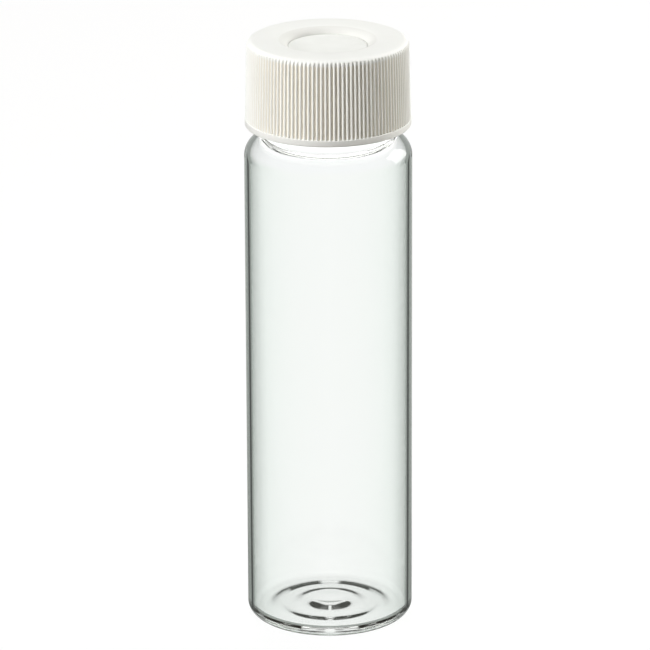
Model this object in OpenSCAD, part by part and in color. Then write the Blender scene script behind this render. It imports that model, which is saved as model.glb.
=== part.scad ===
// Glass sample vial with an open-top screw cap and a septum.
// The origin is at the middle of the base, +Z runs up the axis. All sizes are in millimetres.

/* [Glass body] */
// Height of the glass, from what it stands on to its rim
vial_h = 95; // [70:1:140]
// Outside diameter of the body
vial_d = 27.5; // [25:0.5:36]
// Thickness of the side wall
wall = 1.0; // [0.7:0.1:1.5]
// Radius of the rounded shoulder
shoulder_r = 3.3; // [2.4:0.1:5]
// Height from the top of the shoulder to the rim
neck_h = 11.7; // [10.5:0.1:16]

/* [Glass base] */
// Radius of the rounded outer heel
heel_r = 2.0; // [1.2:0.1:3]
// Radius of the inside corner between wall and base
inner_heel_r = 1.0; // [0.8:0.1:2]
// Thickness of the glass where the base stands on its foot
base_t = 1.6; // [1.2:0.05:2.5]
// How far the underside is pushed up above what the vial stands on
push_h = 0.4; // [0.1:0.05:0.6]
// Width of the slope between the foot and the pushed-up underside
push_slope = 3.0; // [2:0.1:4]
// How much higher the underside is in the ring round its nub
ring_h = 0.15; // [0:0.05:0.4]
// Diameter of that ring
ring_d = 8.8; // [6:0.1:9]
// Height of the nub's tip, under the middle of the base, above what the vial stands on
nub_up = 0.05; // [0.05:0.05:0.3]
// How much higher the floor is inside its sloping edge
floor_step = 0.25; // [0.05:0.05:0.5]
// Height of the low mound at the middle of the floor
mound_h = 0.4; // [0.1:0.05:0.8]
// Diameter of the mound
mound_d = 10; // [6:0.5:12]

/* [Neck finish] */
// How far the neck steps in from the body, on the radius
neck_step = 3.05; // [2.6:0.05:3.6]
// Thickness of the neck's wall
neck_wall = 2.2; // [1.6:0.1:3]
// How far the glass thread stands out from the neck
thread_h = 1.15; // [0.8:0.05:1.3]
// Rise of the thread in one turn
pitch = 3.175; // [2.8:0.025:3.6]
// Turns of thread on the glass
glass_turns = 1.25; // [1:0.05:1.6]
// Width of the glass thread where it leaves the neck
glass_thread_w = 1.9; // [1.4:0.1:2]
// Depth of the thread's upper end below the rim
thread_start = 2.0; // [1.8:0.1:3]
// Radius of the rim's inner and outer edges
rim_r = 0.5; // [0.3:0.05:0.7]

/* [Septum] */
// Thickness of the septum
septum_t = 3.2; // [1.5:0.1:4]
// How far the pressed septum bulges into the hole of the cap
septum_bulge = 0.4; // [0.1:0.05:0.6]

/* [Cap] */
// Height of the cap
cap_h = 14.3; // [13.2:0.1:15]
// How far the foot of the cap lies inside the body's outline, on the radius
cap_inset = 0.15; // [0:0.05:0.4]
// How much narrower the skirt is at the top than at the foot, on the diameter
cap_draft = 0.7; // [0.2:0.1:0.9]
// Thickness of the top flange
flange_t = 1.4; // [1:0.1:2]
// Radius of the rounded top edge
cap_edge_r = 1.1; // [0.6:0.1:1.4]
// Diameter of the hole in the flange
hole_d = 13; // [9:0.5:15]
// How much wider the hole is at its upper edge
hole_flare = 2.6; // [1:0.1:4]
// Height of the plain band at the foot
band_h = 1.1; // [0.6:0.1:2]
// How far the band stands out past the ribs
band_step = 0.06; // [0:0.01:0.15]
// Number of ribs round the skirt
ribs = 120; // [60:2:140]
// Depth of the grooves between the ribs
groove_depth = 0.35; // [0.2:0.05:0.4]
// Share of each rib's spacing that the groove takes up
groove_share = 0.62; // [0.4:0.02:0.7]
// Turns of thread inside the cap
cap_turns = 1.5; // [1:0.1:1.6]
// Width of the cap's thread where it leaves the skirt
cap_thread_w = 1.3; // [0.9:0.1:1.4]
// Height of the thread's lower end above the cap's foot
cap_thread_up = 2.0; // [1.6:0.1:3]

/* [Fits] */
// Radial gap between each thread's crest and the wall it runs past
thread_gap = 0.2; // [0.15:0.05:0.4]
// Gap between the two thread flanks when the cap is home
flank_gap = 0.15; // [0.1:0.05:0.3]
// Gap between the septum's edge and the crest of the cap's thread
septum_gap = 0.1; // [0.05:0.05:0.5]

/* [Hidden] */
$fn = 96;

body_r = vial_d / 2;
inner_r = body_r - wall;
neck_r = body_r - neck_step;
mouth_r = neck_r - neck_wall;
crest_r = neck_r + thread_h;

// Heights
shoulder_top = vial_h - neck_h;
shoulder_z = shoulder_top - shoulder_r;
floor_z = base_t + floor_step;
ring_z = push_h + ring_h;
flange_z = vial_h + septum_t;
cap_top = flange_z + flange_t;
cap_foot = cap_top - cap_h;
band_top = cap_foot + band_h;

// Base, in from the heel
FOOT_W = 1.05;
// How far inside the foot the floor begins to rise, and how wide the shallow slopes of the base are
FLOOR_EDGE = 1.0;
SHALLOW = 2.2;
foot_r = body_r - heel_r - FOOT_W;
push_r = foot_r - push_slope;
floor_r = foot_r - FLOOR_EDGE;
ring_r = ring_d / 2;
mound_r = mound_d / 2;

// Fillets where the shoulder runs into the neck, outside and inside
NECK_FILLET = 0.8;
MOUTH_FILLET = 1.5;

// Cap
cap_r = body_r - cap_inset;
cap_top_r = cap_r - cap_draft / 2;
rib_foot_r = cap_r - band_step;
rib_top_z = cap_top - cap_edge_r;
draft_angle = atan((rib_foot_r - cap_top_r) / (rib_top_z - band_top));
cap_bore_r = crest_r + thread_gap;
cap_crest_r = neck_r + thread_gap;
hole_r = hole_d / 2;
hole_top_r = hole_r + hole_flare / 2;
groove_w = groove_share * 2 * PI * cap_top_r / ribs;
septum_r = cap_crest_r - septum_gap;

// Small edges of the cap: rounded foot, lead-in chamfer, lip of the hole and the land under it
FOOT_ROUND = 0.25;
FOOT_CHAMFER = 0.4;
LIP_ROUND = 0.4;
HOLE_LAND = 0.35;
// Width of a groove's floor as a share of its mouth
GROOVE_FLOOR = 0.35;
// Gap left round the septum's bulge, inside the hole
BULGE_EDGE = 0.2;

// How far the lip turns before the slope of the hole leaves it
lip_turn = atan2(cap_top - flange_z - HOLE_LAND, hole_flare / 2 + LIP_ROUND);

// Threads: a trapezium swept along a helix, sunk a little into the wall that carries it
THREAD_STEP = 7.5;
THREAD_SINK = 0.25;
THREAD_FADE = 40;
CREST_SHARE = 0.42;
glass_crest_w = glass_thread_w * CREST_SHARE;
cap_crest_w = cap_thread_w * CREST_SHARE;

// Half the width of a thread at a radius between its root and its crest
function half_w(root_w, crest_w, share) = (root_w + (crest_w - root_w) * share) / 2;

// Height between the two helices at which the flanks keep flank_gap, at either edge of their overlap
overlap_share = (cap_bore_r - crest_r) / (cap_bore_r - cap_crest_r);
touch_in = half_w(glass_thread_w, glass_crest_w, (cap_crest_r - neck_r) / thread_h) + cap_crest_w / 2;
touch_out = glass_crest_w / 2 + half_w(cap_thread_w, cap_crest_w, overlap_share);
thread_drop = max(touch_in, touch_out) + flank_gap;

// Where each thread's lower end is: the cap's hangs thread_drop below the glass's at any one angle
glass_thread_z = vial_h - thread_start - pitch * glass_turns;
cap_thread_turn = 360 * (cap_foot + cap_thread_up + thread_drop - glass_thread_z) / pitch;

// Points along an arc, about the centre [cx, cz], from angle a0 to a1
function arc(cx, cz, r, a0, a1, n = 10) =
    [for (i = [0 : n]) let (a = a0 + (a1 - a0) * i / n) [cx + r * cos(a), cz + r * sin(a)]];

// Points of a smooth S from height z0 at radius r0 to height z1 at radius r1
function ess(r0, z0, r1, z1, n = 10) =
    [for (i = [0 : n]) let (t = i / n) [r0 + (r1 - r0) * t, z0 + (z1 - z0) * (1 - cos(180 * t)) / 2]];

// How far a thread has risen out of its wall, t degrees from an end of its whole sweep
function fade(t, sweep) = min(1, t / THREAD_FADE, (sweep - t) / THREAD_FADE);

// One thread: root_r is the wall's radius, depth is signed, outwards or inwards, z0 its lower end
module helix(root_r, depth, root_w, crest_w, z0, turns, turn0) {
    sweep = 360 * turns;
    rings = round(sweep / THREAD_STEP);
    sink = sign(depth) * THREAD_SINK;
    points = [
        for (i = [0 : rings])
            let (
                t = sweep * i / rings,
                a = turn0 + t,
                z = z0 + pitch * t / 360,
                r0 = root_r - sink,
                r1 = root_r + depth * fade(t, sweep) - sink * (1 - fade(t, sweep)) / 2,
                w0 = root_w / 2,
                w1 = crest_w / 2
            )
            each [
                [r0 * cos(a), r0 * sin(a), z - w0],
                [r1 * cos(a), r1 * sin(a), z - w1],
                [r1 * cos(a), r1 * sin(a), z + w1],
                [r0 * cos(a), r0 * sin(a), z + w0]
            ]
    ];
    sides = [
        for (i = [0 : rings - 1], k = [0 : 3])
            let (a = 4 * i + k, b = 4 * i + (k + 1) % 4)
            each [[a, b, b + 4], [a, b + 4, a + 4]]
    ];
    ends = [[3, 2, 1, 0], [4 * rings, 4 * rings + 1, 4 * rings + 2, 4 * rings + 3]];
    faces = concat(sides, ends);
    polyhedron(points, depth > 0 ? faces : [for (f = faces) [for (i = [len(f) - 1 : -1 : 0]) f[i]]]);
}

// Shoulder arc about [cx, cz], then the fillet of radius fr that turns it up into a neck
function shoulder(cx, cz, r, neck, fr) =
    let (
        dx = neck + fr - cx,
        a = dx > 0 ? acos(dx / (r + fr)) : 90,
        fz = cz + (dx > 0 ? sqrt(pow(r + fr, 2) - dx * dx) : r + fr)
    )
    concat(arc(cx, cz, r, 0, a), arc(neck + fr, fz, fr, 180 + a, 180));

function reversed(list) = [for (i = [len(list) - 1 : -1 : 0]) list[i]];

// Outside of the glass, from under the middle of the base up to the rim
glass_outside = concat(
    ess(0, nub_up, ring_r, ring_z),
    ess(ring_r, ring_z, min(ring_r + SHALLOW, push_r), push_h),
    ess(push_r, push_h, foot_r, 0),
    arc(body_r - heel_r, heel_r, heel_r, -90, 0),
    shoulder(body_r - shoulder_r, shoulder_z, shoulder_r, neck_r, NECK_FILLET),
    arc(neck_r - rim_r, vial_h - rim_r, rim_r, 0, 90)
);

// Inside of the glass, from the middle of the floor up to the rim
glass_inside = concat(
    ess(0, floor_z + mound_h, mound_r, floor_z),
    ess(floor_r - SHALLOW, floor_z, floor_r, base_t),
    arc(inner_r - inner_heel_r, base_t + inner_heel_r, inner_heel_r, -90, 0),
    shoulder(body_r - shoulder_r, shoulder_z, shoulder_r - wall, mouth_r, MOUTH_FILLET),
    arc(mouth_r + rim_r, vial_h - rim_r, rim_r, 180, 90)
);

module vial() {
    color([0.86, 0.92, 0.90, 0.35]) {
        rotate_extrude()
            polygon(concat(glass_outside, reversed(glass_inside)));
        helix(neck_r, thread_h, glass_thread_w, glass_crest_w, glass_thread_z, glass_turns, 0);
    }
}

// The disc, and the part of its upper face that the cap presses up into its hole
module septum() {
    color([0.95, 0.95, 0.93])
        rotate_extrude()
            polygon(concat(
                [[0, vial_h], [septum_r, vial_h], [septum_r, flange_z]],
                ess(hole_r - BULGE_EDGE, flange_z, 0, flange_z + septum_bulge)
            ));
}

// Section of the cap without its ribs
cap_section = concat(
    [[cap_bore_r + FOOT_CHAMFER, cap_foot]],
    arc(cap_r - FOOT_ROUND, cap_foot + FOOT_ROUND, FOOT_ROUND, -90, 0, 4),
    [[cap_r, band_top], [rib_foot_r, band_top]],
    arc(cap_top_r - cap_edge_r, rib_top_z, cap_edge_r, 0, 90, 6),
    arc(hole_top_r + LIP_ROUND, cap_top - LIP_ROUND, LIP_ROUND, 90, 90 + lip_turn, 4),
    [[hole_r, flange_z + HOLE_LAND], [hole_r, flange_z]],
    [[cap_bore_r, flange_z], [cap_bore_r, cap_foot + FOOT_CHAMFER]]
);

// One groove, cut straight up the skirt and leaning in with its draft
module groove() {
    half = groove_w / 2;
    floor_half = half * GROOVE_FLOOR;
    translate([rib_foot_r, 0, band_top])
        rotate([0, -draft_angle, 0])
            linear_extrude(cap_h)
                polygon([
                    [-groove_depth, -floor_half], [0, -half], [groove_depth, -half],
                    [groove_depth, half], [0, half], [-groove_depth, floor_half]
                ]);
}

module cap() {
    color([0.94, 0.94, 0.91]) {
        difference() {
            rotate_extrude()
                polygon(cap_section);
            for (i = [0 : ribs - 1])
                rotate(360 * i / ribs)
                    groove();
        }
        helix(
            cap_bore_r, cap_crest_r - cap_bore_r, cap_thread_w, cap_crest_w,
            cap_foot + cap_thread_up, cap_turns, cap_thread_turn
        );
    }
}

vial();
septum();
cap();
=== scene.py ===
"""Glass sample vial with a ribbed open-top screw cap and a septum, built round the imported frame."""
import math

import bmesh
import bpy
from mathutils import Matrix, Vector


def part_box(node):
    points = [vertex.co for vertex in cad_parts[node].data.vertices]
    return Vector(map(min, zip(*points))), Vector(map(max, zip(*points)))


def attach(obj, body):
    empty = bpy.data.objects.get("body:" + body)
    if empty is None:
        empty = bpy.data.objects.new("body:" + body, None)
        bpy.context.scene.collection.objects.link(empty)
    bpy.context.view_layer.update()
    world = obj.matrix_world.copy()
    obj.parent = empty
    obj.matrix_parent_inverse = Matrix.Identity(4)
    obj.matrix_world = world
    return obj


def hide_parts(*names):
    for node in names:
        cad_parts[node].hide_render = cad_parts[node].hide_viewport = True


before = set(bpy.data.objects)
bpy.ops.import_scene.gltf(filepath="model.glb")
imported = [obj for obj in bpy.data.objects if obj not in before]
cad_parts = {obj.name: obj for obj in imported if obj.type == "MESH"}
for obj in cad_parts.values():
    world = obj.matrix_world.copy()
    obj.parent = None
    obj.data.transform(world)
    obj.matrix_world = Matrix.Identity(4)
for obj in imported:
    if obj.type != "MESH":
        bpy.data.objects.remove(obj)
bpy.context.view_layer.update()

MM = 0.001


def span_of(node):
    """A node's radius and its lowest and highest points, in millimetres."""
    low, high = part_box(node)
    return high[0] / MM, low[2] / MM, high[2] / MM


# ---------------------------------------------------------------- sizes, in millimetres
body_r, _, vial_h = span_of("vial")
septum_r, _, septum_top = span_of("septum")
cap_r, cap_foot, cap_top = span_of("cap")

# The glass: its wall, shoulder, neck and rim
WALL = 1.0
SHOULDER_R = 3.3
NECK_H = 11.7
NECK_STEP = 3.05
NECK_WALL = 2.2
RIM_R = 0.5
NECK_FILLET = 0.8
MOUTH_FILLET = 1.5

# The base: its heel, then its underside and its floor from the outside in
HEEL_R = 2.0
INNER_HEEL_R = 1.0
BASE_T = 1.6
FOOT_R = 10.7
PUSH_R = 7.7
PUSH_H = 0.4
RING_R = 4.4
RING_Z = 0.55
NUB_UP = 0.05
FLOOR_R = 9.7
FLOOR_Z = 1.85
MOUND_R = 5.0
MOUND_H = 0.4
SHALLOW = 2.2

# The threads, with turns and run-outs in whole turns. The drop is how far the cap's thread hangs below the
# neck's at any one angle, and the last two are how far apart the two walls have their rings.
PITCH = 3.175
GLASS_TURNS = 1.25
GLASS_THREAD_H = 1.15
GLASS_THREAD_W = 1.9
CAP_TURNS = 1.5
CAP_THREAD_H = 1.15
CAP_THREAD_W = 1.3
CREST_SHARE = 0.42
THREAD_RUN_OUT = 40 / 360
THREAD_FROM_RIM = 2.0
THREAD_FROM_FOOT = 2.0
THREAD_DROP = 1.277
GLASS_RING = 0.14
CAP_RING = 0.17

# The cap: its flange and hole, its foot and its grooves
FLANGE_T = 1.4
CAP_EDGE_R = 1.1
CAP_DRAFT = 0.35
CAP_BORE_R = 12.05
HOLE_R = 6.5
HOLE_FLARE = 1.3
HOLE_LAND = 0.35
LIP_ROUND = 0.4
LIP_BOW = 0.65
BAND_H = 1.1
BAND_STEP = 0.06
BAND_ROUND = 0.05
FOOT_ROUND = 0.25
FOOT_CHAMFER = 0.4
RIBS = 120
GROOVE_DEPTH = 0.35

# The skin round the bore that no groove reaches, and how softly the grooves' colour ends outside it
BORE_SKIN = 0.3
BORE_SKIN_SOFT = 0.1

# Where a groove's floor ends and a rib's crest begins, and where the cap has its points, as shares of a
# rib's spacing from the groove's middle
FLOOR_EDGE = 0.10
CREST_EDGE = 0.42
RIB_POINTS = (-0.43, -0.35, -0.26, -0.13, 0.13, 0.26, 0.35, 0.43)

# The septum: its worn edge, and the bulge in the cap's hole
SEPTUM_EDGE = 0.1
BULGE_GAP = 0.05
BULGE_ROUND = 0.2

# Flat sides round the glass and the septum
GLASS_SIDES = 256
SEPTUM_SIDES = 192

inner_r = body_r - WALL
neck_r = body_r - NECK_STEP
mouth_r = neck_r - NECK_WALL
shoulder_top = vial_h - NECK_H
shoulder_z = shoulder_top - SHOULDER_R
flange_z = cap_top - FLANGE_T
cap_top_r = cap_r - CAP_DRAFT
rib_foot_r = cap_r - BAND_STEP
band_top = cap_foot + BAND_H
rib_top_z = cap_top - CAP_EDGE_R
hole_top_r = HOLE_R + HOLE_FLARE
glass_thread_z = vial_h - THREAD_FROM_RIM - PITCH * GLASS_TURNS
cap_thread_z = cap_foot + THREAD_FROM_FOOT
draft = (rib_foot_r - cap_top_r) / (rib_top_z - band_top)


# ---------------------------------------------------------------- turned shapes
SAME_POINT = 1e-4


def arc(cx, cz, r, a0, a1, n):
    """Points along an arc about (cx, cz), from angle a0 to a1 in degrees."""
    steps = [math.radians(a0 + (a1 - a0) * i / n) for i in range(n + 1)]
    return [(cx + r * math.cos(a), cz + r * math.sin(a)) for a in steps]


def ess(r0, z0, r1, z1, n=14):
    """Points of a smooth S from height z0 at radius r0 to height z1 at radius r1."""
    turns = [math.pi * i / n for i in range(n + 1)]
    return [(r0 + (r1 - r0) * turn / math.pi, z0 + (z1 - z0) * (1 - math.cos(turn)) / 2) for turn in turns]


def lip(r0, z0, r1, z1, n=10):
    """Points down a rounded lip, from its flat top at (r1, z1) to the wall of its hole at (r0, z0)."""
    points = []
    for i in range(n + 1):
        cone = (1 - LIP_BOW) * (1 - i / n)
        turn = math.pi / 2 * (1 - i / n)
        out = cone + LIP_BOW * (1 - math.cos(turn))
        up = cone + LIP_BOW * math.sin(turn)
        points.append((r0 + (r1 - r0) * out, z0 + (z1 - z0) * up))
    return points


def line(r0, z0, r1, z1, n):
    """Points along a straight line, without its two ends."""
    return [(r0 + (r1 - r0) * i / n, z0 + (z1 - z0) * i / n) for i in range(1, n)]


def shoulder(cx, cz, r, neck, fillet, n=14):
    """The rounded shoulder about (cx, cz), and the fillet that turns it up into a neck."""
    dx = neck + fillet - cx
    a = math.degrees(math.acos(dx / (r + fillet))) if dx > 0 else 90
    fz = cz + (math.sqrt((r + fillet) ** 2 - dx * dx) if dx > 0 else r + fillet)
    return arc(cx, cz, r, 0, a, n) + arc(neck + fillet, fz, fillet, 180 + a, 180, n)


def even_angles(count):
    """Angles of evenly spaced sides."""
    return [2 * math.pi * i / count for i in range(count)]


def turned(name, profile, angles, closed=False):
    """Turns a profile round the axis. A profile that isn't closed starts and ends on the axis."""
    points = []
    for p in profile:
        if not points or math.dist(p, points[-1]) > SAME_POINT:
            points.append(p)
    if closed and math.dist(points[0], points[-1]) < SAME_POINT:
        points.pop()
    bm = bmesh.new()
    rings = []
    for r, z in points:
        around = angles if r > SAME_POINT else [0]
        rings.append([bm.verts.new((r * MM * math.cos(a), r * MM * math.sin(a), z * MM)) for a in around])
    pairs = list(zip(rings, rings[1:])) + ([(rings[-1], rings[0])] if closed else [])
    for low, high in pairs:
        for i in range(len(angles)):
            j = (i + 1) % len(angles)
            corners = [low[i % len(low)], low[j % len(low)], high[j % len(high)], high[i % len(high)]]
            bm.faces.new(list(dict.fromkeys(corners)))
    for face in bm.faces:
        face.smooth = True
    mesh = bpy.data.meshes.new(name)
    bm.to_mesh(mesh)
    bm.free()
    piece = bpy.data.objects.new(name, mesh)
    bpy.context.scene.collection.objects.link(piece)
    return piece


# ---------------------------------------------------------------- node trees
MAP_NAMES = ("From Min", "From Max", "To Min", "To Max")


class Nodes:
    """Adds nodes to a tree. A value given to a socket is set there, and another node's output is linked."""

    def __init__(self, tree):
        self.tree = tree

    def add(self, kind, values=None, **settings):
        n = self.tree.nodes.new(kind)
        for key, value in settings.items():
            setattr(n, key, value)
        for key, value in (values or {}).items():
            self.put(n.inputs[key], value)
        return n

    def put(self, socket, value):
        if isinstance(value, bpy.types.NodeSocket):
            self.tree.links.new(value, socket)
        elif isinstance(value, (tuple, list)) and len(value) == 3 and socket.type == "RGBA":
            socket.default_value = (*value, 1)
        else:
            socket.default_value = value

    def math(self, operation, a, b=0.0, c=0.0):
        return self.add("ShaderNodeMath", {0: a, 1: b, 2: c}, operation=operation).outputs[0]

    def ramp(self, value, low, high, out_low=0.0, out_high=1.0, kind="SMOOTHSTEP"):
        values = {"Value": value, **dict(zip(MAP_NAMES, (low, high, out_low, out_high)))}
        return self.add("ShaderNodeMapRange", values, interpolation_type=kind).outputs["Result"]

    def mix(self, factor, a, b):
        values = {"Factor": factor, "A": a, "B": b}
        return self.add("ShaderNodeMix", values, data_type="RGBA").outputs["Result"]

    def compare(self, operation, a, b):
        return self.add("FunctionNodeCompare", {0: a, 1: b}, operation=operation).outputs[0]

    def split(self, vector):
        return self.add("ShaderNodeSeparateXYZ", {0: vector}).outputs

    def coordinates(self, kind):
        return self.add("ShaderNodeTexCoord").outputs[kind]

    def blend(self, factor, a, b):
        return self.add("ShaderNodeMixShader", {0: factor, 1: a, 2: b}).outputs[0]

    def past(self, depth, count):
        """1 for a ray that has done this more than count times, and otherwise 0."""
        return self.math("GREATER_THAN", depth, count + 0.5)

    def radius(self, x, y):
        return self.math("SQRT", self.math("MULTIPLY_ADD", x, x, self.math("MULTIPLY", y, y)))


# How near a point counts as on a wall or on a ledge, in millimetres
ON_WALL, ON_LEDGE = 0.01, 0.001


def shape_tree(name, numbers):
    """A tree that moves points in or out from the axis. Returns it, its nodes and its inputs."""
    tree = bpy.data.node_groups.new(name, "GeometryNodeTree")
    tree.interface.new_socket("Geometry", in_out="INPUT", socket_type="NodeSocketGeometry")
    for label in numbers:
        tree.interface.new_socket(label, in_out="INPUT", socket_type="NodeSocketFloat")
    tree.interface.new_socket("Material", in_out="INPUT", socket_type="NodeSocketMaterial")
    tree.interface.new_socket("Geometry", in_out="OUTPUT", socket_type="NodeSocketGeometry")
    nodes = Nodes(tree)
    return tree, nodes, nodes.add("NodeGroupInput").outputs


def polar(nodes):
    """The position's x, y and height, its radius, and its angle in turns."""
    x, y, z = nodes.split(nodes.add("GeometryNodeInputPosition").outputs[0])
    turn = nodes.math("DIVIDE", nodes.math("ARCTAN2", y, x), 2 * math.pi)
    return x, y, z, nodes.radius(x, y), turn


def moved_to(nodes, given, chosen, x, y, z, r, new_r):
    """Ends a tree: the chosen points go to the new radius, and the mesh takes the material."""
    grown = nodes.math("DIVIDE", new_r, r)
    new_x, new_y = nodes.math("MULTIPLY", x, grown), nodes.math("MULTIPLY", y, grown)
    place = nodes.add("ShaderNodeCombineXYZ", {0: new_x, 1: new_y, 2: z})
    moved = nodes.add(
        "GeometryNodeSetPosition",
        {"Geometry": given["Geometry"], "Selection": chosen, "Position": place.outputs[0]},
    )
    real = nodes.add("GeometryNodeRealizeInstances", {"Geometry": moved.outputs[0]}).outputs[0]
    done = nodes.add("GeometryNodeSetMaterial", {"Geometry": real, "Material": given["Material"]})
    nodes.add("NodeGroupOutput", {0: done.outputs[0]})


def screw_thread_tree():
    """Raises a screw thread on a turned wall. A negative height raises it inwards."""
    tree, nodes, given = shape_tree("screw thread", (
        "Wall radius", "Start height", "Start turn", "Pitch", "Turns",
        "Root width", "Crest width", "Height", "Run-out",
    ))
    x, y, z, r, turn = polar(nodes)
    here = nodes.math("SUBTRACT", turn, given["Start turn"])
    climbed = nodes.math("DIVIDE", nodes.math("SUBTRACT", z, given["Start height"]), given["Pitch"])
    whole = nodes.math("ROUND", nodes.math("SUBTRACT", climbed, here))
    along = nodes.math("ADD", whole, here)
    off_line = nodes.math("MULTIPLY", nodes.math("SUBTRACT", climbed, along), given["Pitch"])
    off_line = nodes.math("ABSOLUTE", off_line)
    half_root = nodes.math("DIVIDE", given["Root width"], 2)
    half_crest = nodes.math("DIVIDE", given["Crest width"], 2)
    section = nodes.ramp(off_line, half_crest, half_root, 1.0, 0.0, "LINEAR")
    to_end = nodes.math("MINIMUM", along, nodes.math("SUBTRACT", given["Turns"], along))
    fade = nodes.ramp(to_end, 0.0, given["Run-out"])
    rise = nodes.math("MULTIPLY", nodes.math("MULTIPLY", section, fade), given["Height"])
    off_wall = nodes.math("ABSOLUTE", nodes.math("SUBTRACT", r, given["Wall radius"]))
    chosen = nodes.compare("LESS_THAN", off_wall, ON_WALL * MM)
    moved_to(nodes, given, chosen, x, y, z, r, nodes.math("ADD", r, rise))
    return tree


def ribs_tree():
    """Cuts straight grooves into a turned skirt. They run out where its top edge rounds off."""
    tree, nodes, given = shape_tree("grip ribs", (
        "Ribs", "Depth", "Floor edge", "Crest edge", "Foot radius", "Foot height", "Draft", "Bore radius",
    ))
    x, y, z, r, turn = polar(nodes)
    place = nodes.math("MULTIPLY", turn, given["Ribs"])
    across = nodes.math("ABSOLUTE", nodes.math("SUBTRACT", place, nodes.math("ROUND", place)))
    section = nodes.ramp(across, given["Floor edge"], given["Crest edge"], 1.0, 0.0)
    up = nodes.math("SUBTRACT", z, given["Foot height"])
    skirt = nodes.math("SUBTRACT", given["Foot radius"], nodes.math("MULTIPLY", up, given["Draft"]))
    cut = nodes.math("SUBTRACT", skirt, nodes.math("MULTIPLY", section, given["Depth"]))
    above = nodes.compare("GREATER_THAN", up, -ON_LEDGE * MM)
    outside = nodes.compare("GREATER_THAN", r, given["Bore radius"])
    chosen = nodes.add("FunctionNodeBooleanMath", {0: above, 1: outside}, operation="AND").outputs[0]
    moved_to(nodes, given, chosen, x, y, z, r, nodes.math("MINIMUM", r, cut))
    return tree


def shaped(piece, tree, values):
    """Runs a tree on a piece and keeps the result as the piece's plain mesh."""
    sockets = {s.name: s.identifier for s in tree.interface.items_tree if s.in_out == "INPUT"}
    modifier = piece.modifiers.new(tree.name, "NODES")
    modifier.node_group = tree
    for label, value in values.items():
        modifier[sockets[label]] = value
    depsgraph = bpy.context.evaluated_depsgraph_get()
    mesh = bpy.data.meshes.new_from_object(piece.evaluated_get(depsgraph), depsgraph=depsgraph)
    piece.modifiers.remove(modifier)
    blank, piece.data = piece.data, mesh
    bpy.data.meshes.remove(blank)
    mesh.name = piece.name


def crisp(piece, degrees):
    """Smooth faces, with edges sharper than this angle kept sharp."""
    piece.data.polygons.foreach_set("use_smooth", [True] * len(piece.data.polygons))
    piece.data.set_sharp_from_angle(angle=math.radians(degrees))


# ---------------------------------------------------------------- materials
# Colours of the finishes, with painted shade for the cap's band, hole and grooves
CLEAR_GLASS = (0.985, 0.995, 0.992)
SHADOW_GLASS = (0.9, 0.92, 0.91)
CAP_WHITE, CAP_CLOUD = (0.925, 0.93, 0.905), (0.90, 0.905, 0.875)
BAND_PAINTED_SHADE, HOLE_PAINTED_SHADE, GROOVE_PAINTED_SHADE = (0.80, 0.80, 0.775), (0.82, 0.82, 0.79), (0.86, 0.82, 0.735)
SEPTUM_WHITE, SEPTUM_CLOUD = (0.92, 0.93, 0.90), (0.89, 0.90, 0.87)
BLACK = (0.0, 0.0, 0.0)

# Refractive indices
GLASS_IOR, PLASTIC_IOR = 1.5, 1.49

# Painted shade: the glass's tone by how edge-on its outside is seen, from face-on at 0 to the outline at 1,
# with dark edge lines drawn in
PAINTED_EDGE_SHADE = (
    (0.0, 1.0), (0.38, 0.97), (0.50, 0.82), (0.575, 0.88), (0.62, 0.95), (0.66, 1.0), (0.681, 0.8),
    (0.685, 0.0), (0.741, 0.0), (0.746, 0.60), (0.77, 0.85), (1.0, 1.0),
)
# Tint seen face-on and edge-on, and how edge-on the glass is once it is fully green
FACE_TINT, EDGE_TINT, GREEN_FROM = (0.994, 1.0, 0.973), (0.914, 1.0, 0.932), 0.47
# The painted edge shade fades out where a wall turns up to face the sky, between these slopes
SLOPE_FROM, SLOPE_TO = 0.1, 0.5

# Painted light: a glow that only rays inside the glass see, on the cap and at the neck's root, where it
# starts and ends over these heights above the neck's foot
CAP_PAINTED_LIGHT = (0.75, 0.75, 0.73)
ROOT_PAINTED_LIGHT = 0.30
ROOT_LOW, ROOT_HIGH = (-1.2, -0.6), (3.0, 4.0)

# Where the cap's painted shade lies: between which depths a groove takes its painted shade, how softly the
# band's painted shade ends, and the heights over the top of the skirt between which the grooves' painted
# shade fades
GROOVE_SHADE_FROM, GROOVE_SHADE_TO = 0.05, 0.3
BAND_BLUR = 0.05
EDGE_FROM, EDGE_TO = -0.1, 0.3

# The fine grain: its depth in millimetres, and the noise values that clouds and roughness spread over
GRAIN_DEPTH = 0.03
CLOUD_FROM, CLOUD_TO = 0.35, 0.7
ROUGH_FROM, ROUGH_TO = 0.2, 0.8


def surface(name):
    """A new material, its nodes, its shader and its output."""
    m = bpy.data.materials.new(name)
    m.use_nodes = True
    return m, Nodes(m.node_tree), m.node_tree.nodes["Principled BSDF"], m.node_tree.nodes["Material Output"]


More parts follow.
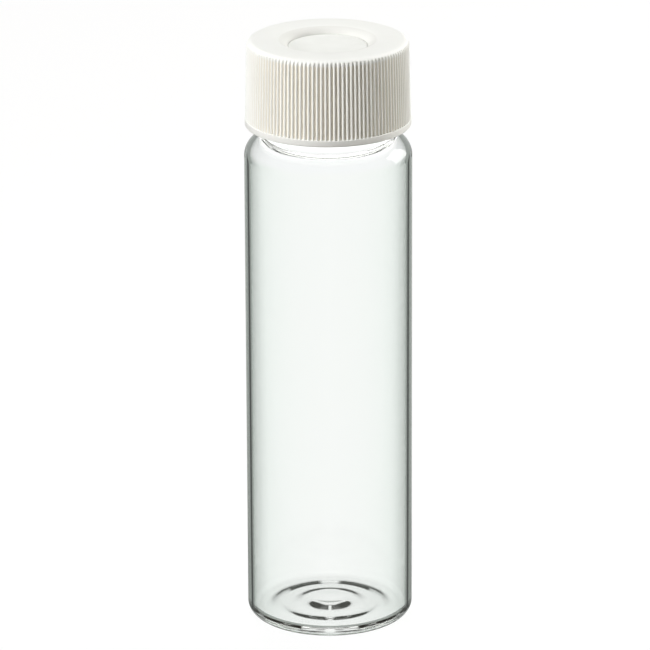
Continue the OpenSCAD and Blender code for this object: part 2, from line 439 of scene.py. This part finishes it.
def fine_grain_group():
    """Fine even grain with slow cloudy variation, in object space."""
    group = bpy.data.node_groups.new("fine grain", "ShaderNodeTree")
    number, colour = "NodeSocketFloat", "NodeSocketColor"
    for label, kind in (
        ("Grain scale", number), ("Cloud scale", number), ("Colour", colour), ("Cloud colour", colour),
        ("Roughness low", number), ("Roughness high", number),
    ):
        group.interface.new_socket(label, in_out="INPUT", socket_type=kind)
    for label, kind in (("Colour", colour), ("Roughness", number), ("Height", number)):
        group.interface.new_socket(label, in_out="OUTPUT", socket_type=kind)
    nodes = Nodes(group)
    given = nodes.add("NodeGroupInput").outputs
    where = nodes.coordinates("Object")
    grain = nodes.add("ShaderNodeTexNoise", {"Vector": where, "Scale": given["Grain scale"], "Detail": 3.0})
    cloud = nodes.add("ShaderNodeTexNoise", {"Vector": where, "Scale": given["Cloud scale"], "Detail": 4.0})
    share = nodes.ramp(cloud.outputs["Fac"], CLOUD_FROM, CLOUD_TO)
    both = nodes.math("MULTIPLY_ADD", grain.outputs["Fac"], 0.5, nodes.math("MULTIPLY", share, 0.5))
    rough = nodes.ramp(both, ROUGH_FROM, ROUGH_TO, given["Roughness low"], given["Roughness high"])
    out = nodes.add("NodeGroupOutput")
    nodes.put(out.inputs["Colour"], nodes.mix(share, given["Colour"], given["Cloud colour"]))
    nodes.put(out.inputs["Roughness"], rough)
    nodes.put(out.inputs["Height"], grain.outputs["Fac"])
    return group


FINE_GRAIN = fine_grain_group()


def grain_in(nodes, shader, bump, values):
    """Places the fine grain in a material, with its roughness and bump. Returns its colour."""
    grain = nodes.add("ShaderNodeGroup", values, node_tree=FINE_GRAIN)
    lift = {"Strength": bump, "Distance": GRAIN_DEPTH * MM, "Height": grain.outputs["Height"]}
    nodes.put(shader.inputs["Roughness"], grain.outputs["Roughness"])
    nodes.put(shader.inputs["Normal"], nodes.add("ShaderNodeBump", lift).outputs[0])
    return grain.outputs["Colour"]


def glass_material():
    """Clear laboratory glass, faintly green-grey, with painted shade where a wall is seen edge-on and a
    painted glow at the neck's root.
    """
    m, nodes, shader, out = surface("clear glass")
    edge = nodes.add("ShaderNodeLayerWeight", {"Blend": 0.5}).outputs["Facing"]
    light = nodes.add("ShaderNodeLightPath")
    # Painted shade: the glass darkens by how edge-on the camera sees it, drawing its dark edge lines
    shade = nodes.add("ShaderNodeValToRGB", {"Fac": edge})
    stops = shade.color_ramp.elements
    while len(stops) < len(PAINTED_EDGE_SHADE):
        stops.new(0.5)
    for stop, (at, tone) in zip(stops, PAINTED_EDGE_SHADE):
        green = min(at / GREEN_FROM, 1.0)
        tint = [face + (side - face) * green for face, side in zip(FACE_TINT, EDGE_TINT)]
        stop.position = at
        stop.color = (*(tone * part for part in tint), 1)
    slope = nodes.split(nodes.add("ShaderNodeNewGeometry").outputs["Normal"])[2]
    shade = nodes.mix(nodes.ramp(slope, SLOPE_FROM, SLOPE_TO), shade.outputs["Color"], CLEAR_GLASS)
    nodes.put(shader.inputs["Base Color"], nodes.mix(light.outputs["Is Camera Ray"], CLEAR_GLASS, shade))
    nodes.put(shader.inputs["Roughness"], 0.0)
    nodes.put(shader.inputs["IOR"], GLASS_IOR)
    nodes.put(shader.inputs["Transmission Weight"], 1.0)
    # Painted light: the neck's root glows for rays that have come through the glass
    z = nodes.split(nodes.coordinates("Object"))[2]
    low, high = [[(neck_foot + off) * MM for off in ends] for ends in (ROOT_LOW, ROOT_HIGH)]
    at_root = nodes.math("MULTIPLY", nodes.ramp(z, *low), nodes.ramp(z, *high, 1.0, 0.0))
    painted_root_light = nodes.math("MULTIPLY", at_root, nodes.past(light.outputs["Transmission Depth"], 0))
    nodes.put(shader.inputs["Emission Color"], nodes.mix(painted_root_light, BLACK, (ROOT_PAINTED_LIGHT,) * 3))
    nodes.put(shader.inputs["Emission Strength"], 1.0)
    open_to_light = nodes.add("ShaderNodeBsdfTransparent", {"Color": SHADOW_GLASS})
    both = nodes.blend(light.outputs["Is Shadow Ray"], shader.outputs[0], open_to_light.outputs[0])
    nodes.put(out.inputs["Surface"], both)
    return m


def cap_material():
    """Moulded white polypropylene with a satin grain, painted shade in the grooves, on the band and in the
    hole, and a painted glow where it is seen through the glass.
    """
    m, nodes, shader, _ = surface("satin white plastic")
    tone = grain_in(nodes, shader, 0.12, {
        "Grain scale": 3500.0, "Cloud scale": 140.0, "Colour": CAP_WHITE, "Cloud colour": CAP_CLOUD,
        "Roughness low": 0.36, "Roughness high": 0.52,
    })
    x, y, z = nodes.split(nodes.coordinates("Object"))
    r = nodes.radius(x, y)
    up = nodes.math("SUBTRACT", z, band_top * MM)
    skirt = nodes.math("SUBTRACT", rib_foot_r * MM, nodes.math("MULTIPLY", up, draft))
    below = nodes.math("SUBTRACT", skirt, r)
    bore_skin = CAP_BORE_R + BORE_SKIN
    # Painted shade in the grooves: a darker, warmer colour by how deep the point lies below the skirt
    groove_shade = nodes.ramp(below, GROOVE_SHADE_FROM * MM, GROOVE_SHADE_TO * MM)
    for mask in (
        nodes.ramp(up, 0.0, BAND_BLUR * MM),
        nodes.ramp(r, bore_skin * MM, (bore_skin + BORE_SKIN_SOFT) * MM),
        nodes.ramp(z, (rib_top_z + EDGE_FROM) * MM, (rib_top_z + EDGE_TO) * MM, 1.0, 0.0),
    ):
        groove_shade = nodes.math("MULTIPLY", groove_shade, mask)
    # Painted shade: the band below the ribs is coloured darker than the rest of the cap
    tone = nodes.mix(nodes.ramp(up, -BAND_BLUR * MM, 0.0, 1.0, 0.0), tone, BAND_PAINTED_SHADE)
    # Painted shade in the hole and on its rounded lip
    hole_shade = nodes.ramp(r, hole_top_r * MM, (hole_top_r + LIP_ROUND) * MM, 1.0, 0.0)
    tone = nodes.mix(hole_shade, tone, HOLE_PAINTED_SHADE)
    nodes.put(shader.inputs["Base Color"], nodes.mix(groove_shade, tone, GROOVE_PAINTED_SHADE))
    nodes.put(shader.inputs["IOR"], PLASTIC_IOR)
    # Painted light: the cap glows for rays that come to it through the glass
    in_glass = nodes.past(nodes.add("ShaderNodeLightPath").outputs["Transmission Depth"], 0)
    nodes.put(shader.inputs["Emission Color"], nodes.mix(in_glass, BLACK, CAP_PAINTED_LIGHT))
    nodes.put(shader.inputs["Emission Strength"], 1.0)
    return m


def septum_material():
    """Soft matt white sheet."""
    m, nodes, shader, _ = surface("matt white septum")
    tone = grain_in(nodes, shader, 0.1, {
        "Grain scale": 2600.0, "Cloud scale": 260.0, "Colour": SEPTUM_WHITE, "Cloud colour": SEPTUM_CLOUD,
        "Roughness low": 0.55, "Roughness high": 0.7,
    })
    nodes.put(shader.inputs["Base Color"], tone)
    return m


# ---------------------------------------------------------------- the glass
glass_outside = (
    ess(0, NUB_UP, RING_R, RING_Z)
    + ess(RING_R, RING_Z, RING_R + SHALLOW, PUSH_H)
    + ess(PUSH_R, PUSH_H, FOOT_R, 0)
    + arc(body_r - HEEL_R, HEEL_R, HEEL_R, -90, 0, 20)
    + line(body_r, HEEL_R, body_r, shoulder_z, 6)
    + shoulder(body_r - SHOULDER_R, shoulder_z, SHOULDER_R, neck_r, NECK_FILLET)
)
neck_foot = glass_outside[-1][1]
neck_rings = round((vial_h - RIM_R - neck_foot) / GLASS_RING)
glass_outside += line(neck_r, neck_foot, neck_r, vial_h - RIM_R, neck_rings)
glass_outside += arc(neck_r - RIM_R, vial_h - RIM_R, RIM_R, 0, 90, 8)
glass_inside = (
    ess(0, FLOOR_Z + MOUND_H, MOUND_R, FLOOR_Z)
    + ess(FLOOR_R - SHALLOW, FLOOR_Z, FLOOR_R, BASE_T)
    + arc(inner_r - INNER_HEEL_R, BASE_T + INNER_HEEL_R, INNER_HEEL_R, -90, 0, 16)
    + line(inner_r, BASE_T + INNER_HEEL_R, inner_r, shoulder_z, 6)
    + shoulder(body_r - SHOULDER_R, shoulder_z, SHOULDER_R - WALL, mouth_r, MOUTH_FILLET)
    + arc(mouth_r + RIM_R, vial_h - RIM_R, RIM_R, 180, 90, 8)
)
vial_glass = turned("vial_glass", glass_outside + glass_inside[::-1], even_angles(GLASS_SIDES))
clear_glass = glass_material()
SCREW_THREAD = screw_thread_tree()
shaped(vial_glass, SCREW_THREAD, {
    "Wall radius": neck_r * MM, "Start height": glass_thread_z * MM, "Start turn": 0.0,
    "Pitch": PITCH * MM, "Turns": GLASS_TURNS, "Run-out": THREAD_RUN_OUT,
    "Root width": GLASS_THREAD_W * MM, "Crest width": GLASS_THREAD_W * CREST_SHARE * MM,
    "Height": GLASS_THREAD_H * MM, "Material": clear_glass,
})
crisp(vial_glass, 60)

# ---------------------------------------------------------------- the septum
bulge_r = HOLE_R - BULGE_GAP
bulge = [(bulge_r, flange_z)] + arc(bulge_r - BULGE_ROUND, septum_top - BULGE_ROUND, BULGE_ROUND, 0, 90, 6)
bulge += [(0, septum_top)]
septum_rim = [
    (septum_r - SEPTUM_EDGE, vial_h),
    (septum_r, vial_h + SEPTUM_EDGE),
    (septum_r, flange_z - SEPTUM_EDGE),
    (septum_r - SEPTUM_EDGE, flange_z),
]
septum_disc = turned("septum_disc", [(0, vial_h)] + septum_rim + bulge, even_angles(SEPTUM_SIDES))
septum_disc.data.materials.append(septum_material())
crisp(septum_disc, 40)

# ---------------------------------------------------------------- the cap
cap_profile = (
    arc(cap_r - FOOT_ROUND, cap_foot + FOOT_ROUND, FOOT_ROUND, -90, 0, 5)
    + arc(cap_r - BAND_ROUND, band_top - BAND_ROUND, BAND_ROUND, 0, 90, 3)
    + [(rib_foot_r, band_top)]
    + line(rib_foot_r, band_top, cap_top_r, rib_top_z, 4)
    + arc(cap_top_r - CAP_EDGE_R, rib_top_z, CAP_EDGE_R, 0, 90, 12)
    + lip(HOLE_R, flange_z + HOLE_LAND, hole_top_r + LIP_ROUND, cap_top)
    + [(HOLE_R, flange_z), (CAP_BORE_R, flange_z)]
)
thread_low = cap_thread_z - CAP_THREAD_W
thread_high = cap_thread_z + PITCH * CAP_TURNS + CAP_THREAD_W
bore_rings = round((thread_high - thread_low) / CAP_RING)
cap_profile += [(CAP_BORE_R, thread_high)]
cap_profile += line(CAP_BORE_R, thread_high, CAP_BORE_R, thread_low, bore_rings)
cap_profile += [(CAP_BORE_R, thread_low), (CAP_BORE_R, cap_foot + FOOT_CHAMFER)]
cap_profile += [(CAP_BORE_R + FOOT_CHAMFER, cap_foot)]
rib_angles = [2 * math.pi * (rib + point) / RIBS for rib in range(RIBS) for point in RIB_POINTS]
screw_cap = turned("screw_cap", cap_profile, rib_angles, closed=True)
white_plastic = cap_material()
shaped(screw_cap, ribs_tree(), {
    "Ribs": float(RIBS), "Depth": GROOVE_DEPTH * MM, "Floor edge": FLOOR_EDGE, "Crest edge": CREST_EDGE,
    "Foot radius": rib_foot_r * MM, "Foot height": band_top * MM, "Draft": draft,
    "Bore radius": (CAP_BORE_R + BORE_SKIN) * MM, "Material": white_plastic,
})
shaped(screw_cap, SCREW_THREAD, {
    "Wall radius": CAP_BORE_R * MM, "Start height": cap_thread_z * MM,
    "Start turn": (cap_thread_z + THREAD_DROP - glass_thread_z) / PITCH,
    "Pitch": PITCH * MM, "Turns": CAP_TURNS, "Run-out": THREAD_RUN_OUT,
    "Root width": CAP_THREAD_W * MM, "Crest width": CAP_THREAD_W * CREST_SHARE * MM,
    "Height": -CAP_THREAD_H * MM, "Material": white_plastic,
})
crisp(screw_cap, 50)

for piece, body, slot in (
    (vial_glass, "vial", "glass"),
    (septum_disc, "septum", "septum"),
    (screw_cap, "cap", "cap"),
):
    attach(piece, body)
    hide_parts(body)

# ---------------------------------------------------------------- what the glass sees
# What a ray in the glass sees: straight through, once it has been reflected, and after more reflections
THROUGH_WHITE = 1.06
REFLECTED_ONCE = (0.362, 0.385, 0.366)
DEEP_SHADE = (0.012, 0.009, 0.005)

# After more reflections it still sees white in a sector of the floor and in a window of the surroundings.
# Their half angles, the window's top and how softly they end are in degrees.
FLOOR_HALF, FLOOR_SOFT = 5, 5
WINDOW_HALF, WINDOW_TOP, WINDOW_SOFT = 2.5, 27.0, 2.0


def seen_by_glass(nodes, light, dark):
    """The colour that rays in the glass see, where dark is 0 in the white parts, and 1 for such rays."""
    colour = nodes.mix(nodes.past(light["Glossy Depth"], 0), (THROUGH_WHITE,) * 3, REFLECTED_ONCE)
    deep = nodes.mix(dark, (THROUGH_WHITE,) * 3, DEEP_SHADE)
    colour = nodes.mix(nodes.past(light["Glossy Depth"], 1), colour, deep)
    return colour, nodes.math("MAXIMUM", light["Is Glossy Ray"], light["Is Transmission Ray"])


# ---------------------------------------------------------------- the floor
FLOOR_SIZE = 4.0
FLOOR_BOUNCE = (0.26, 0.25, 0.23)
FLOOR_SEEN = (0.98, 0.98, 0.98)
PALE_SHARE = 0.8
bpy.ops.mesh.primitive_plane_add(size=FLOOR_SIZE, location=(0, 0, 0))
floor = bpy.context.object
floor.name = "floor"
m, nodes, shader, out = surface("pale floor")
light = nodes.add("ShaderNodeLightPath").outputs
nodes.put(shader.inputs["Base Color"], nodes.mix(light["Is Camera Ray"], FLOOR_BOUNCE, FLOOR_SEEN))
nodes.put(shader.inputs["Roughness"], 0.9)
nodes.put(shader.inputs["Specular IOR Level"], 0.0)
x, y, z = nodes.split(nodes.coordinates("Object"))
aside = nodes.math("DEGREES", nodes.math("ABSOLUTE", nodes.math("ARCTAN2", x, nodes.math("ABSOLUTE", y))))
aside = nodes.ramp(aside, FLOOR_HALF, FLOOR_HALF + FLOOR_SOFT)
in_glass, seen_in_glass = seen_by_glass(nodes, light, aside)
glow = nodes.add("ShaderNodeEmission", {"Color": in_glass, "Strength": 1.0}).outputs[0]
pale = nodes.add("ShaderNodeEmission", {"Color": (1.0, 1.0, 1.0), "Strength": 1.0}).outputs[0]
shown = nodes.blend(PALE_SHARE, shader.outputs[0], pale)
shown = nodes.blend(light["Is Camera Ray"], shader.outputs[0], shown)
nodes.put(out.inputs["Surface"], nodes.blend(seen_in_glass, shown, glow))
floor.data.materials.append(m)

# ---------------------------------------------------------------- the surroundings
AMBIENT = (0.04, 0.034, 0.024)
world = bpy.data.worlds.new("studio")
bpy.context.scene.world = world
world.use_nodes = True
world.node_tree.nodes.clear()
nodes = Nodes(world.node_tree)
x, y, z = nodes.split(nodes.coordinates("Generated"))
azimuth = nodes.math("ABSOLUTE", nodes.math("DEGREES", nodes.math("ARCTAN2", x, y)))
elevation = nodes.math("DEGREES", nodes.math("ARCSINE", z))
beside = nodes.ramp(azimuth, WINDOW_HALF, WINDOW_HALF + WINDOW_SOFT)
over = nodes.ramp(elevation, WINDOW_TOP, WINDOW_TOP + WINDOW_SOFT)
light = nodes.add("ShaderNodeLightPath").outputs
in_glass, seen_in_glass = seen_by_glass(nodes, light, nodes.math("MAXIMUM", beside, over))
shown = nodes.mix(light["Is Camera Ray"], nodes.mix(seen_in_glass, AMBIENT, in_glass), (1.0, 1.0, 1.0))
sky = nodes.add("ShaderNodeBackground", {"Color": shown, "Strength": 1.0})
nodes.add("ShaderNodeOutputWorld", {0: sky.outputs[0]})

# ---------------------------------------------------------------- the lamps
WHITE, WARM = (1.0, 1.0, 1.0), (1.0, 0.99, 0.965)
LAMP_DISTANCE, LAMP_AIM = 0.8, 0.06
FULL_POWER = 6.3


def soft_lamp(name, azimuth, elevation, width, height, level, colour=WHITE):
    """A soft rectangular lamp aimed at the vial. Azimuth 0 is the camera's side, 90 is the right."""
    a, e = math.radians(azimuth), math.radians(elevation)
    towards = Vector((math.sin(a) * math.cos(e), -math.cos(a) * math.cos(e), math.sin(e)))
    lamp = bpy.data.lights.new(name, "AREA")
    lamp.shape, lamp.size, lamp.size_y = "RECTANGLE", width, height
    lamp.energy, lamp.color = FULL_POWER * level, colour
    holder = bpy.data.objects.new(name, lamp)
    holder.location = Vector((0, 0, LAMP_AIM)) + towards * LAMP_DISTANCE
    holder.rotation_mode = "QUATERNION"
    holder.rotation_quaternion = towards.to_track_quat("Z", "Y")
    lamp.use_nodes = True
    nodes = Nodes(lamp.node_tree)
    depth = nodes.add("ShaderNodeLightPath").outputs["Transmission Depth"]
    strength = nodes.math("LESS_THAN", depth, 0.5)
    nodes.put(lamp.node_tree.nodes["Emission"].inputs["Strength"], strength)
    bpy.context.scene.collection.objects.link(holder)
    return holder


# Only the right lamp shows in reflections, and no lamp lights what is seen through the glass
soft_lamp("left lamp", -54, 14, 0.25, 0.3, 0.84).visible_glossy = False
soft_lamp("right lamp", 120, 20, 0.5, 0.5, 0.36, WARM)
soft_lamp("low right lamp", 97, 5, 0.12, 0.12, 0.74, WARM).visible_glossy = False
soft_lamp("back lamp", 180, 45, 0.5, 0.5, 0.34).visible_glossy = False
soft_lamp("top lamp", -25, 77, 0.5, 0.5, 0.53).visible_glossy = False

# ---------------------------------------------------------------- the camera
CAMERA_DISTANCE, CAMERA_ELEVATION, AIM_Z = 0.8799, 19.04, 0.05
CAMERA_PAN, CAMERA_TILT, CAMERA_ROLL = -0.00073, 0.00052, -0.00404
LENS, SENSOR = 294.6, 36


def turned_by(a, b, angle):
    """Two directions at right angles, turned together by an angle, from the first towards the second."""
    return a * math.cos(angle) + b * math.sin(angle), b * math.cos(angle) - a * math.sin(angle)


e = math.radians(CAMERA_ELEVATION)
forward = Vector((0, math.cos(e), -math.sin(e)))
right = Vector((1, 0, 0))
up = right.cross(forward)
camera_at = Vector((0, 0, AIM_Z)) - CAMERA_DISTANCE * forward
forward, right = turned_by(forward, right, CAMERA_PAN)
forward, up = turned_by(forward, up, CAMERA_TILT)
right, up = turned_by(right, up, CAMERA_ROLL)
lens = bpy.data.cameras.new("camera")
lens.sensor_width, lens.lens, lens.clip_start = SENSOR, LENS, 0.01
camera = bpy.data.objects.new("camera", lens)
camera.location = camera_at
camera.rotation_mode = "QUATERNION"
camera.rotation_quaternion = Matrix((right, up, -forward)).transposed().to_quaternion()
bpy.context.scene.collection.objects.link(camera)
bpy.context.scene.camera = camera

bpy.context.scene.view_settings.view_transform = "Standard"
cycles = bpy.context.scene.cycles
cycles.max_bounces, cycles.glossy_bounces, cycles.transmission_bounces = 32, 24, 32
